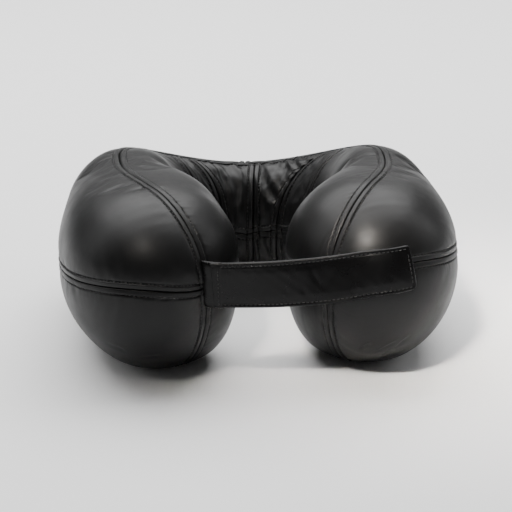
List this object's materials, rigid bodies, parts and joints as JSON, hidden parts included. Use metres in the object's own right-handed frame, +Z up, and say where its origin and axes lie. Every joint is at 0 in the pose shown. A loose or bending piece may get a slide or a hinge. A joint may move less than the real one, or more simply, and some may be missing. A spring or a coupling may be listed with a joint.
{
  "type": "travel neck pillow",
  "caption": "Horseshoe neck pillow in black leather with sewn panels, top-stitched seams and a leather strap that closes the mouth.",
  "frame": {"origin": "on the resting surface, under the middle of the pillow's outline", "axes": "+X along the width, +Y to the back of the neck, -Y to the mouth and the strap, +Z up"},
  "size_m": [0.2971, 0.3045, 0.1371],
  "materials": {
    "cover_leather": "smooth black nappa with a soft sheen",
    "strap_leather": "smooth black leather, glossier, with a painted edge",
    "strap_lining": "thin black lining leather",
    "hook_tape": "woven hook tape",
    "loop_tape": "brushed loop tape",
    "liner_cloth": "plain woven cotton",
    "fibre_fill": "polyester fibre"
  },
  "bodies": {
    "pillow": {"outer_upper_left": "cover_leather", "outer_upper_right": "cover_leather", "outer_lower_left": "cover_leather", "outer_lower_right": "cover_leather", "arm_upper_left": "cover_leather", "arm_upper_right": "cover_leather", "arm_lower_left": "cover_leather", "arm_lower_right": "cover_leather", "side_gore_upper_left": "cover_leather", "side_gore_upper_right": "cover_leather", "side_gore_lower_left": "cover_leather", "side_gore_lower_right": "cover_leather", "neck_gore_upper_left": "cover_leather", "neck_gore_upper_right": "cover_leather", "neck_gore_lower_left": "cover_leather", "neck_gore_lower_right": "cover_leather", "liner_bag": "liner_cloth", "fibre_core": "fibre_fill", "loop_patch": "loop_tape", "strap_root": "strap_leather"},
    "strap": {"strap_band_face": "strap_leather", "strap_band_lining": "strap_lining"},
    "strap_end": {"strap_end_face": "strap_leather", "strap_end_lining": "strap_lining", "hook_patch": "hook_tape"}
  },
  "joints": [
    {"name": "strap_swing", "type": "hinge", "parent": "pillow", "child": "strap", "pos_m": [-0.03505, -0.14005, 0.08121], "axis": [0.0857, -0.0052, -0.9963], "range_deg": [0, 100]},
    {"name": "strap_end_peel", "type": "hinge", "parent": "strap", "child": "strap_end", "pos_m": [0.06497, -0.14718, 0.09042], "axis": [0.0694, -0.2357, -0.9693], "range_deg": [0, 70]}
  ]
}
